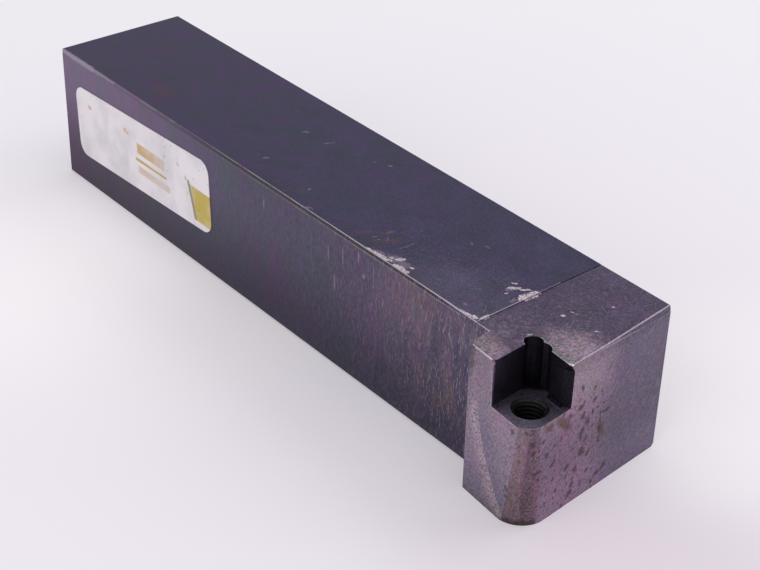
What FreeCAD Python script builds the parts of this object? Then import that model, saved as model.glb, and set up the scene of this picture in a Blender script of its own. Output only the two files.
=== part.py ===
import FreeCAD, Part

import math
import os

from FreeCAD import Vector

# Turning tool holder, left hand, for an 80 degree rhombic insert at a 95 degree approach.
# Millimetres. +X runs along the shank to the head, +Y to the right side face, +Z up.
# The origin lies on the base face, on the shank's centreline.

# Shank
shank_width = 32.0
shank_height = 32.0
shank_length = 144.8            # back end to the step where the top of the head is milled
origin_from_back = 80.0
back_chamfer = 1.0              # all round the back end
top_left_break_top = 0.3        # steep ground edge, this much across the top
top_left_break_side = 1.3       # and this much down the left side
top_left_break_front = 0.75     # share of both that is left near the head
top_left_break_narrows = 14.0   # it runs out from this far short of the step
top_left_break_stop = 3.0       # to here
top_left_break_last = 0.2       # share of both that is left there
top_right_chamfer = 0.4
base_chamfer = 0.6

# Head, measured from the step towards the cutting end
head_drop = 0.25                # the top of the head is milled this much lower than the shank
step_angle = 1.8                # degrees, the milled step falls back to the right
shoulder_reach = 3.6            # step to the foot of the shoulder on the shank's left side
shoulder_lean = 11.5            # degrees off square
shoulder_fillet = 0.8
side_overhang = 5.2             # how far the head's back left corner stands out of the shank
side_angle = 5.0                # the left side face runs outwards to the nose
end_reach = 19.2                # step to the end face on the centreline, at the top
end_angle = 6.5                 # the end face falls back to the right
end_clearance = 0.7             # and leans in towards the base
edge_break = 0.15               # small bevel on the head's top edges
top_corner_height = 2.4         # bevelled back left corner of the head
top_corner_width = 0.7

# Face left by the round cutter that finished the left side
flank_depth = 0.12
flank_cutter_radius = 43.0
flank_cutter_bevel = 1.2
flank_cutter_along = 45.0       # cutter centre, from the back left corner along the side
flank_cutter_height = 28.0

# Thin wedge facet under the right half of the end face's top edge
wedge_start = -4.5              # where it begins, across the centreline
wedge_height = 1.65             # at the right side
wedge_depth = 0.3

# Nose under the insert's tip
nose_radius = 5.6
nose_side_base = 5.55           # nose axis in from the side face, at the base
nose_end_base = 5.55            # and in from the end face
nose_side_floor = 4.4           # the axis leans out to these at the pocket's floor
nose_end_floor = 5.3

# Insert pocket
insert_angle = 80.0
insert_thickness = 4.7625
shim_thickness = 4.7625
pocket_end_inset = 8.7          # corner where the two walls meet, back from the end face
pocket_side_inset = 10.0        # and in from the head's back left corner
pocket_fillet = 0.9             # foot of the right wall
corner_relief_radius = 1.8
corner_relief_along = 0.5       # centre from the corner, along the right wall
corner_relief_inset = 0.8       # and in from it
wall_relief_radius = 2.1
wall_relief_along = 2.95        # corner to the second relief, along the right wall
wall_relief_inset = 1.15        # its centre stands out of that wall
left_wall_break = 1.0           # top corner of the left wall's outer end
right_wall_break = 2.0          # upright bevel at the right wall's outer end, along the wall
right_end_break = 1.2           # and along the end face
right_break_top = 30.0          # from this height it narrows to a corner at the top
right_break_left = 0.15         # share of it that is left there

# Threaded hole of the missing lock pin
pin_forward = 5.4               # from the pocket's corner towards the end
pin_outward = 5.45              # and towards the left side
pin_thread_radius = 3.175       # major radius
pin_mouth_radius = 3.45
pin_base_mouth_radius = 3.6

# Paper sticker on the left side of the shank
label_length = 54.2
label_height = 17.2
label_thickness = 0.15
label_corner = 3.0
label_from_back = 33.6          # centre
label_middle_height = 17.6
label_tilt = 2.4                # degrees, rising to the head

over = 5.0                      # how far a cutting body reaches past the metal

half_width = shank_width / 2
back_x = -origin_from_back
step_x = back_x + shank_length
end_x = step_x + end_reach
head_top = shank_height - head_drop
pocket_floor = head_top - insert_thickness - shim_thickness


def direction(degrees):
    angle = math.radians(degrees)
    return Vector(math.cos(angle), math.sin(angle), 0)


def meet(point_a, along_a, point_b, along_b):
    """Where two lines in plan cross."""
    gap = point_b - point_a
    cross = along_a.x * along_b.y - along_a.y * along_b.x
    share = (gap.x * along_b.y - gap.y * along_b.x) / cross
    return point_a + along_a * share


def prism(points, low, high):
    """Upright prism over a plan outline."""
    corners = [Vector(p.x, p.y, low) for p in points]
    wire = Part.makePolygon(corners + [corners[0]])
    return Part.Face(wire).extrude(Vector(0, 0, high - low))


def slab_beyond(point, normal, size=60.0, thickness=30.0):
    """Block that lies on the outer side of a plane."""
    slab = Part.makeBox(2 * size, 2 * size, thickness, Vector(-size, -size, 0))
    turn = FreeCAD.Rotation(Vector(0, 0, 1), normal)
    slab.Placement = FreeCAD.Placement(point, turn)
    return slab


def edge_prism(points, first_leg, second_leg, shares=(1, 1)):
    """Triangular body that breaks a straight edge, with a share of its legs at each point."""
    wires = []
    for corner, share in zip(points, shares):
        outside = corner - (first_leg + second_leg) * share * 0.5
        first = corner + (first_leg * 1.5 - second_leg * 0.5) * share
        second = corner + (second_leg * 1.5 - first_leg * 0.5) * share
        wires.append(Part.makePolygon([outside, first, second, outside]))
    return Part.makeLoft(wires, True, True)


# The head's faces in plan
side_way = direction(-side_angle)
side_out = direction(-side_angle - 90)
end_way = direction(90 + end_angle)
end_out = direction(end_angle)
shoulder_way = direction(-90 + shoulder_lean)
shoulder_foot = Vector(step_x + shoulder_reach, -half_width, 0)
back_left = shoulder_foot + shoulder_way * (side_overhang / math.cos(math.radians(shoulder_lean)))
end_middle = Vector(end_x, 0, 0)
sharp_corner = meet(back_left, side_way, end_middle, end_way)
end_right = meet(end_middle, end_way, Vector(0, half_width, 0), Vector(1, 0, 0))


def blank():
    """Shank and head as one extruded outline, with the milled top of the head."""
    outline = [
        Vector(back_x, -half_width, 0),
        shoulder_foot,
        back_left,
        sharp_corner,
        end_right,
        Vector(back_x, half_width, 0),
    ]
    body = prism(outline, 0, shank_height)
    foot_edges = []
    for edge in body.Edges:
        middle = edge.CenterOfMass
        upright = abs(middle.z - shank_height / 2) < 0.01
        if upright and math.hypot(middle.x - shoulder_foot.x, middle.y - shoulder_foot.y) < 0.01:
            foot_edges.append(edge)
    body = body.makeFillet(shoulder_fillet, foot_edges)
    head_mill = Part.makeBox(
        end_reach + 2 * over, shank_width + 4 * over, over,
        Vector(step_x, -half_width - 2 * over, head_top))
    head_mill.rotate(Vector(step_x, 0, 0), Vector(0, 0, 1), step_angle)
    body = body.cut(head_mill)
    lean = math.radians(end_clearance)
    end_normal = end_out * math.cos(lean) - Vector(0, 0, math.sin(lean))
    end_point = Vector(end_x, 0, head_top)
    return body.cut(slab_beyond(end_point, end_normal))


def flank_cut():
    """Shallow round-edged cut that the finishing cutter leaves on the left side."""
    along = back_left + side_way * flank_cutter_along
    centre = along - side_out * flank_depth + Vector(0, 0, flank_cutter_height)
    return Part.makeCone(
        flank_cutter_radius, flank_cutter_radius + 2 * flank_cutter_bevel,
        2 * flank_depth, centre, side_out)


def nose_axis(height, from_side, from_end):
    """Point at a height, set in from the side face and from the leaning end face."""
    set_back = (head_top - height) * math.tan(math.radians(end_clearance)) + from_end
    side_line = back_left - side_out * from_side
    point = meet(side_line, side_way, end_middle - end_out * set_back, end_way)
    return point + Vector(0, 0, height)


def nose_cut():
    """What the leaning round nose takes off the corner of the two faces."""
    foot = nose_axis(0, nose_side_base, nose_end_base)
    top = nose_axis(pocket_floor, nose_side_floor, nose_end_floor)
    lean_way = (top - foot)
    lean_way.normalize()
    round_nose = Part.makeCylinder(
        nose_radius, shank_height + 2 * over, foot - lean_way * over, lean_way)
    reach = nose_radius + over
    corner = [
        foot,
        foot + side_out * reach,
        sharp_corner + side_out * reach + end_out * reach,
        foot + end_out * reach,
    ]
    return prism(corner, -over / 2, shank_height).cut(round_nose)


# The pocket's walls in plan
wall_lean = (90 - insert_angle) / 2
pocket_corner = Vector(end_x - pocket_end_inset, back_left.y + pocket_side_inset, 0)
left_wall_way = direction(-90 + wall_lean)
right_wall_way = direction(-wall_lean)
left_wall_end = meet(pocket_corner, left_wall_way, back_left, side_way)
right_wall_end = meet(pocket_corner, right_wall_way, end_middle, end_way)
pin_axis = pocket_corner + Vector(pin_forward, -pin_outward, 0)


def pocket_cut():
    """Seat of the shim and insert, with its two relief grooves at the corner."""
    reach = (left_wall_end - pocket_corner).Length + 3 * over
    seat = prism([
        pocket_corner,
        pocket_corner + left_wall_way * reach,
        pocket_corner + left_wall_way * reach + right_wall_way * reach,
        pocket_corner + right_wall_way * reach,
    ], pocket_floor, shank_height + over)
    foot_edges = []
    right_normal = direction(90 - wall_lean)
    for edge in seat.Edges:
        middle = edge.CenterOfMass
        off_wall = abs((middle - pocket_corner).dot(right_normal))
        if abs(middle.z - pocket_floor) < 0.01 and off_wall < 0.01:
            foot_edges.append(edge)
    seat = seat.makeFillet(pocket_fillet, foot_edges)
    relief_height = shank_height + over - pocket_floor
    up = Vector(0, 0, 1)
    base = Vector(0, 0, pocket_floor)
    corner_centre = pocket_corner + Vector(corner_relief_along, -corner_relief_inset, 0)
    wall_centre = (
        pocket_corner + right_wall_way * wall_relief_along - right_normal * wall_relief_inset)
    corner_relief = Part.makeCylinder(corner_relief_radius, relief_height, corner_centre + base, up)
    wall_relief = Part.makeCylinder(wall_relief_radius, relief_height, wall_centre + base, up)
    return seat.fuse([corner_relief, wall_relief])


def right_wall_bevel():
    """Upright bevel between the right wall and the end face, narrower above."""
    wires = []
    for height, share in ((pocket_floor, 1), (right_break_top, 1), (head_top, right_break_left)):
        corner = right_wall_end + Vector(0, 0, height)
        outside = corner + (right_wall_way - end_way) * over
        on_wall = corner - right_wall_way * right_wall_break * share
        on_end = corner + end_way * right_end_break * share
        wires.append(Part.makePolygon([outside, on_wall, on_end, outside]))
    return Part.makeLoft(wires, True, True)


def pin_hole():
    """Through hole with countersunk mouths at the pocket floor and at the base."""
    up = Vector(0, 0, 1)
    top = pin_axis + Vector(0, 0, pocket_floor)
    bore = Part.makeCylinder(pin_thread_radius, shank_height + over, pin_axis - up * over, up)
    grow = pin_mouth_radius - pin_thread_radius
    top_mouth = Part.makeCone(
        pin_thread_radius, pin_mouth_radius + grow, 2 * grow, top - up * grow, up)
    base_grow = pin_base_mouth_radius - pin_thread_radius
    base_mouth = Part.makeCone(
        pin_base_mouth_radius + base_grow, pin_thread_radius, 2 * base_grow,
        pin_axis - up * base_grow, up)
    return bore.fuse([top_mouth, base_mouth])


def shank_edges():
    """Bodies that break the shank's long edges and those of its back end."""
    up = Vector(0, 0, 1)
    forward = Vector(1, 0, 0)
    right = Vector(0, 1, 0)
    low_left = Vector(back_x, -half_width, 0)
    low_right = Vector(back_x, half_width, 0)
    top_left = low_left + up * shank_height
    top_right = low_right + up * shank_height
    top_left_points = (
        top_left,
        top_left + forward * (shank_length - top_left_break_narrows),
        top_left + forward * (shank_length - top_left_break_stop),
    )
    right_way = forward * (end_right.x - back_x + over)
    base_way = forward * (shoulder_foot.x - shoulder_fillet - back_x)
    bodies = [
        edge_prism(
            top_left_points, right * top_left_break_top, -up * top_left_break_side,
            (1, top_left_break_front, top_left_break_last)),
        edge_prism(
            (top_right, top_right + right_way), -right * top_right_chamfer,
            -up * top_right_chamfer),
        edge_prism((low_left, low_left + base_way), right * base_chamfer, up * base_chamfer),
        edge_prism((low_right, low_right + right_way), -right * base_chamfer, up * base_chamfer),
    ]
    corners = (low_left, low_right, top_right, top_left)
    inward_ways = (up, -right, -up, right)
    for number, corner in enumerate(corners):
        following = corners[(number + 1) % 4]
        stretch = (following - corner)
        stretch.normalize()
        bodies.append(edge_prism(
            (corner - stretch * over, following + stretch * over), forward * back_chamfer,
            inward_ways[number] * back_chamfer))
    return bodies


def facet_slab(points, outward):
    """Block beyond the plane of three points, just wide enough for the facet between them."""
    middle = (points[0] + points[1] + points[2]) * (1 / 3)
    normal = (points[1] - points[0]).cross(points[2] - points[0])
    normal.normalize()
    if normal.dot(outward) < 0:
        normal = -normal
    size = 1.1 * max((point - middle).Length for point in points)
    return slab_beyond(middle, normal, size, size)


def head_edges():
    """Small bevels on the head's top edges, and the facets on its corners."""
    up = Vector(0, 0, 1)
    level = up * head_top
    flank_shift = level - side_out * flank_depth
    wedge_left = end_middle + end_way * (wedge_start / end_way.y) + level
    wedge_low = end_right + level - up * wedge_height
    wedge_top = end_right + level - end_out * wedge_depth
    along_wedge = wedge_top - wedge_left
    along_wedge.normalize()
    bodies = [
        facet_slab((wedge_left, wedge_low, wedge_top), end_out),
        edge_prism(
            (back_left - side_way * over + flank_shift,
             left_wall_end + side_way * over + flank_shift),
            -side_out * edge_break, -up * edge_break),
        edge_prism(
            (right_wall_end - end_way * over + level, wedge_left),
            -end_out * edge_break, -up * edge_break),
        edge_prism(
            (wedge_left, wedge_top + along_wedge * over),
            -end_out * edge_break, -up * edge_break),
        facet_slab((
            back_left + side_way * top_corner_width + level,
            back_left + level - up * top_corner_height,
            back_left - shoulder_way * 2 * top_corner_width + level), side_out),
    ]
    wall_top = left_wall_end + flank_shift
    bodies.append(facet_slab((
        wall_top - left_wall_way * left_wall_break,
        wall_top - side_way * left_wall_break,
        wall_top - up * left_wall_break), direction(wall_lean) + up))
    return bodies


def holder_body():
    body = blank()
    body = body.cut(flank_cut())
    body = body.cut(nose_cut())
    body = body.cut(pocket_cut())
    body = body.cut(right_wall_bevel())
    body = body.cut(pin_hole())
    for tool in shank_edges() + head_edges():
        body = body.cut(tool)
    return body.removeSplitter()


def paper_label():
    """Rounded sticker that lies flat on the left side of the shank."""
    low = Vector(-label_length / 2, 0, -label_height / 2)
    block = Part.makeBox(label_length, label_thickness, label_height, low)
    corners = []
    for edge in block.Edges:
        if abs(edge.BoundBox.YLength - label_thickness) < 0.001 and edge.BoundBox.XLength < 0.001:
            corners.append(edge)
    block = block.makeFillet(label_corner, corners)
    centre = Vector(back_x + label_from_back, -half_width - label_thickness, label_middle_height)
    turn = FreeCAD.Rotation(Vector(0, 1, 0), -label_tilt)
    block.Placement = FreeCAD.Placement(centre, turn)
    return block


os.makedirs("parts", exist_ok=True)
nodes = {"holder_body": holder_body(), "paper_label": paper_label()}
for name, shape in nodes.items():
    solids = shape.Solids
    print(name, "solids", len(solids), "valid", shape.isValid(), "volume", round(shape.Volume, 1))
    solids[0].exportStep("parts/" + name + ".step")
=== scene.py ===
import math

import bpy
from mathutils import Matrix, Vector


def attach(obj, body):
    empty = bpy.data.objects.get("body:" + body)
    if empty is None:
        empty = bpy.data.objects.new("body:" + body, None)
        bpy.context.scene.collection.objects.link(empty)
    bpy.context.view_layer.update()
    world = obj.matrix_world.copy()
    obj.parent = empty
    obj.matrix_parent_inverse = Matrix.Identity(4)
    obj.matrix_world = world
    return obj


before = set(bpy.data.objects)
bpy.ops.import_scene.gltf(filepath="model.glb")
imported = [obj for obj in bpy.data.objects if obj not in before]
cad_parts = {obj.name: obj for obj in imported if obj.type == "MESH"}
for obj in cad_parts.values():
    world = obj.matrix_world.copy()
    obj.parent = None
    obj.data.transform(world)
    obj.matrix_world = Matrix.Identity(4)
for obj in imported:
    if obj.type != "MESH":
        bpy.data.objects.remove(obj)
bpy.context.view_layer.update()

mm = 0.001


# Camera, floor and light

shot = {
    "place": (261.3, -199.35, 205.2),   # mm
    "turn": (58.197, -1.098, 51.289),   # degrees
    "lens": 85.275,
    "nearest": 0.01,                    # metres
    "farthest": 20,
}

studio = {
    "floorSize": 6.0,
    "floorRoughness": 0.7,
    "floorSpecular": 0.15,
    "floorNear": (0.92, 0.865, 0.94, 1),   # around the holder
    "floorFar": (0.94, 0.92, 0.97, 1),
    "floorPaintedShade": (0.77, 0.68, 0.77, 1),    # painted shade in front of the nose
    "floorPaintedLight": (1.0, 0.955, 1.0, 1),    # painted light left of the shank and right of the head
    # tones on the floor, among them painted shade and painted light: a centre and the two distances from it
    # that they run between, in mm
    "farField": ((70, -40, 0), 60, 330),
    "paintedShadePool": ((107, -16, 0), 56, 14),
    "paintedLightPools": [((-25, -38, 0), 66, 15), ((80, 44, 0), 52, 12)],
    # more of the floor's glow in a pool left of the shank: painted light
    "paintedGlowPool": ((-56, -56, 0), 62, 14),
    "glow": (1.0, 0.98, 1.0, 1),           # the floor's own light, only for what looks at it
    "glowShare": 0.25,
    "glowShareLeft": 0.48,
    "worldColour": (0.95, 0.94, 0.97, 1),
    "worldStrength": 0.62,
    # name, place in metres, size, watts
    "lamps": [
        ("rightSoftbox", (0.25, 0.85, 0.75), 0.9, 4.2),
        ("leftSoftbox", (0.15, -0.95, 0.55), 1.1, 4.2),
    ],
}


def placeCamera():
    data = bpy.data.cameras.new("shotCamera")
    data.sensor_width = 36
    data.lens = shot["lens"]
    data.clip_start = shot["nearest"]
    data.clip_end = shot["farthest"]
    camera = bpy.data.objects.new("shotCamera", data)
    camera.location = [v * mm for v in shot["place"]]
    camera.rotation_euler = [math.radians(v) for v in shot["turn"]]
    bpy.context.scene.collection.objects.link(camera)
    bpy.context.scene.camera = camera


# Node helpers

def addNode(tree, kind, inputs=None, family="ShaderNode", **settings):
    node = tree.nodes.new(family + kind)
    for name, value in settings.items():
        setattr(node, name, value)
    for name, value in (inputs or {}).items():
        if isinstance(value, bpy.types.NodeSocket):
            tree.links.new(value, node.inputs[name])
        else:
            node.inputs[name].default_value = value
    return node


def maths(tree, operation, first, second=0.0):
    return addNode(tree, "Math", {0: first, 1: second}, operation=operation).outputs[0]


def vectorMaths(tree, operation, first, second=(0, 0, 0), third=(0, 0, 0)):
    node = addNode(tree, "VectorMath", {0: first, 1: second, 2: third}, operation=operation)
    return node.outputs["Value" if operation in ("LENGTH", "DISTANCE", "DOT_PRODUCT") else "Vector"]


def both(tree, *masks):
    total = masks[0]
    for mask in masks[1:]:
        total = maths(tree, "MULTIPLY", total, mask)
    return total


def either(tree, *masks):
    total = masks[0]
    for mask in masks[1:]:
        total = maths(tree, "MAXIMUM", total, mask)
    return total


def without(tree, mask, other):
    return both(tree, mask, maths(tree, "SUBTRACT", 1.0, other))


def ramp(tree, value, low, high, start=0.0, end=1.0):
    node = addNode(
        tree, "MapRange",
        {"Value": value, "From Min": low, "From Max": high, "To Min": start, "To Max": end},
        interpolation_type="SMOOTHSTEP")
    return node.outputs["Result"]


def between(tree, value, rims):
    # 0 up to the first number, 1 from the second to the third, 0 again from the last
    start, full, fading, end = rims
    return both(tree, ramp(tree, value, start, full), ramp(tree, value, end, fading))


def mixColour(tree, factor, first, second):
    return addNode(tree, "Mix", {0: factor, 6: first, 7: second}, data_type="RGBA").outputs[2]


def mixVector(tree, factor, first, second):
    return addNode(tree, "Mix", {0: factor, 4: first, 5: second}, data_type="VECTOR").outputs[1]


def brighter(tree, colour, amount):
    return addNode(tree, "VectorMath", {0: colour, "Scale": amount}, operation="SCALE").outputs[0]


def tinted(tree, mask, colour, tint):
    return mixColour(tree, mask, colour, vectorMaths(tree, "MULTIPLY", colour, tint))


def flatVector(tree, first, second):
    return addNode(tree, "CombineXYZ", {0: first, 1: second}).outputs[0]


def parts(tree, vector):
    node = addNode(tree, "SeparateXYZ", {0: vector})
    return node.outputs["X"], node.outputs["Y"], node.outputs["Z"]


def spotField(tree, vector, spots):
    # each spot: centre, half sizes, turn in degrees; 1 at its middle, 0 at its rim
    fields = []
    for centre, size, turn in spots:
        radians = [math.radians(angle) for angle in turn]
        local = addNode(
            tree, "Mapping", {"Vector": vector, "Location": centre, "Rotation": radians, "Scale": size},
            vector_type="TEXTURE").outputs[0]
        ball = addNode(tree, "TexGradient", {"Vector": local}, gradient_type="SPHERICAL")
        fields.append(ball.outputs["Fac"])
    return either(tree, *fields)


def frayed(tree, field, fray, low, high, strength=1.0):
    # a field of spots as a mask with an uneven rim
    uneven = both(tree, fray, ramp(tree, field, 0.0, 0.12))
    return ramp(tree, maths(tree, "ADD", field, uneven), low, high, 0.0, strength)


def newGroup(name, inputs, outputs):
    tree = bpy.data.node_groups.new(name, "ShaderNodeTree")
    for label, kind, value in inputs:
        socket = tree.interface.new_socket(label, in_out="INPUT", socket_type="NodeSocket" + kind)
        socket.default_value = value
    for label, kind in outputs:
        tree.interface.new_socket(label, in_out="OUTPUT", socket_type="NodeSocket" + kind)
    return tree, tree.nodes.new("NodeGroupInput").outputs, tree.nodes.new("NodeGroupOutput").inputs


def useGroup(tree, name, **inputs):
    return addNode(tree, "Group", inputs, node_tree=groups[name]).outputs


# Clouds, speckle, a centred colour drift that also frays outlines, and a broad colour cast
def tonesGroup():
    tree, given, out = newGroup(
        "tones",
        [("Place", "Vector", (0, 0, 0)), ("Coarse", "Float", 0.16), ("Middle", "Float", 0.9),
         ("Fine", "Float", 2.6)],
        [("Cloud", "Float"), ("Speckle", "Float"), ("Drift", "Vector"), ("Cast", "Vector")])
    cloud = addNode(tree, "TexNoise", {
        "Vector": given["Place"], "Scale": given["Coarse"], "Detail": 4.0, "Roughness": 0.6})
    fine = addNode(tree, "TexNoise", {
        "Vector": given["Place"], "Scale": given["Fine"], "Detail": 2.0, "Roughness": 0.6})
    drift = addNode(tree, "TexNoise", {
        "Vector": given["Place"], "Scale": given["Middle"], "Detail": 3.0, "Roughness": 0.6})
    centred = vectorMaths(tree, "SUBTRACT", drift.outputs["Color"], (0.5, 0.5, 0.5))
    tree.links.new(cloud.outputs["Fac"], out["Cloud"])
    tree.links.new(fine.outputs["Fac"], out["Speckle"])
    tree.links.new(centred, out["Drift"])
    castRed, _, castBlue = parts(tree, cloud.outputs["Color"])
    # purple one way, grey blue the other
    lean = maths(tree, "SUBTRACT", castRed, castBlue)
    cast = vectorMaths(tree, "MULTIPLY_ADD", (0.5, -0.4, 0.25), lean, (1, 1, 1))
    tree.links.new(cast, out["Cast"])
    return tree


# Line along an edge, uneven where the wear is
def edgeLineGroup():
    tree, given, out = newGroup(
        "edgeLine",
        [("Place", "Vector", (0, 0, 0)), ("From", "Vector", (0, 0, 0)), ("To", "Vector", (1, 0, 0)),
         ("Width", "Float", 0.3), ("Broken", "Float", 0.3), ("Cloud", "Float", 0.5),
         ("Speckle", "Float", 0.5)],
        [("Mask", "Float")])
    along = vectorMaths(tree, "SUBTRACT", given["To"], given["From"])
    reach = vectorMaths(tree, "SUBTRACT", given["Place"], given["From"])
    walked = vectorMaths(tree, "DOT_PRODUCT", reach, along)
    whole = vectorMaths(tree, "DOT_PRODUCT", along, along)
    share = addNode(tree, "Clamp", {"Value": maths(tree, "DIVIDE", walked, whole)}).outputs[0]
    foot = brighter(tree, along, share)
    gap = vectorMaths(tree, "DISTANCE", reach, foot)
    lost = both(tree, ramp(tree, given["Cloud"], 0.4, 0.55), given["Broken"])
    width = both(
        tree, given["Width"], maths(tree, "SUBTRACT", 1.1, lost), maths(tree, "ADD", 0.5, given["Speckle"]))
    near = maths(tree, "SUBTRACT", 1.0, maths(tree, "DIVIDE", gap, width))
    tree.links.new(ramp(tree, near, 0.0, 0.6), out["Mask"])
    return tree


# One soft stroke or pit in each random cell of a flat face, turned at random around a lean
def marksGroup():
    tree, given, out = newGroup(
        "marks",
        [("Flat", "Vector", (0, 0, 0)), ("Cells", "Float", 0.5), ("Length", "Float", 1.0),
         ("Width", "Float", 0.1), ("Lean", "Float", 0.0), ("Spread", "Float", 3.1), ("Share", "Float", 0.5)],
        [("Field", "Float")])
    cells = addNode(
        tree, "TexVoronoi", {"Vector": given["Flat"], "Scale": given["Cells"], "Randomness": 1.0},
        voronoi_dimensions="2D")
    pick = addNode(tree, "SeparateColor", {"Color": cells.outputs["Color"]}).outputs
    local = vectorMaths(tree, "SUBTRACT", given["Flat"], cells.outputs["Position"])
    swing = maths(tree, "MULTIPLY", maths(tree, "SUBTRACT", pick["Red"], 0.5), given["Spread"])
    angle = maths(tree, "MULTIPLY", maths(tree, "ADD", given["Lean"], swing), -1.0)
    turned = addNode(tree, "VectorRotate", {"Vector": local, "Angle": angle}, rotation_type="Z_AXIS")
    along, across, _ = parts(tree, turned.outputs[0])
    size = maths(tree, "ADD", 0.4, pick["Blue"])
    squashed = flatVector(
        tree, maths(tree, "DIVIDE", along, both(tree, given["Length"], size)),
        maths(tree, "DIVIDE", across, both(tree, given["Width"], size)))
    inside = maths(tree, "SUBTRACT", 1.0, vectorMaths(tree, "LENGTH", squashed))
    chosen = maths(tree, "LESS_THAN", pick["Green"], given["Share"])
    tree.links.new(both(tree, maths(tree, "MAXIMUM", inside, 0.0), chosen), out["Field"])
    return tree


groups = {"tones": tonesGroup(), "edgeLine": edgeLineGroup(), "marks": marksGroup()}
print("shader groups ready:", ", ".join(groups))


def newMaterial(name):
    material = bpy.data.materials.new(name)
    material.use_nodes = True
    tree = material.node_tree
    spot = addNode(tree, "TexCoord")
    place = brighter(tree, spot.outputs["Object"], 1000.0)
    return material, tree, tree.nodes["Principled BSDF"], place, spot.outputs["Normal"]


def floorTone(tree, place, tone, start=0.0, end=1.0):
    centre, first, last = tone
    return ramp(tree, vectorMaths(tree, "DISTANCE", place, centre), first, last, start, end)


def makeFloor():
    half = studio["floorSize"] / 2
    corners = [(-half, -half, 0), (half, -half, 0), (half, half, 0), (-half, half, 0)]
    mesh = bpy.data.meshes.new("floor")
    mesh.from_pydata(corners, [], [(0, 1, 2, 3)])
    floor = bpy.data.objects.new("floor", mesh)
    bpy.context.scene.collection.objects.link(floor)
    paint, tree, shader, place, _ = newMaterial("paleFloor")
    colour = mixColour(
        tree, floorTone(tree, place, studio["farField"]), studio["floorNear"], studio["floorFar"])
    # painted shade in front of the nose, then painted light in pools beside the holder
    colour = mixColour(tree, floorTone(tree, place, studio["paintedShadePool"]), colour, studio["floorPaintedShade"])
    pools = [floorTone(tree, place, pool) for pool in studio["paintedLightPools"]]
    colour = mixColour(tree, either(tree, *pools), colour, studio["floorPaintedLight"])
    tree.links.new(colour, shader.inputs["Base Color"])
    shader.inputs["Roughness"].default_value = studio["floorRoughness"]
    shader.inputs["Specular IOR Level"].default_value = studio["floorSpecular"]
    rays = addNode(tree, "LightPath").outputs
    seen = either(tree, rays["Is Camera Ray"], rays["Is Glossy Ray"], rays["Is Transmission Ray"])
    # the glow's share rises in the pool left of the shank: painted light
    share = floorTone(tree, place, studio["paintedGlowPool"], studio["glowShare"], studio["glowShareLeft"])
    glow = addNode(tree, "Emission", {"Color": studio["glow"]}).outputs[0]
    mixed = addNode(tree, "MixShader", {0: both(tree, seen, share), 1: shader.outputs[0], 2: glow})
    tree.links.new(mixed.outputs[0], tree.nodes["Material Output"].inputs["Surface"])
    mesh.materials.append(paint)


def makeLight():
    world = bpy.data.worlds.new("studio")
    world.use_nodes = True
    sky = world.node_tree.nodes["Background"]
    sky.inputs["Color"].default_value = studio["worldColour"]
    sky.inputs["Strength"].default_value = studio["worldStrength"]
    bpy.context.scene.world = world
    for name, where, size, watts in studio["lamps"]:
        lamp = bpy.data.lights.new(name, "AREA")
        lamp.size = size
        lamp.energy = watts
        rig = bpy.data.objects.new(name, lamp)
        rig.location = where
        rig.rotation_euler = (-Vector(where)).to_track_quat("-Z", "Y").to_euler()
        bpy.context.scene.collection.objects.link(rig)


placeCamera()
makeFloor()
makeLight()
bpy.context.scene.view_settings.view_transform = "Standard"
print("camera and studio set")


# Worn black oxide on the holder. Places are in mm, on the part's own axes.

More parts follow.
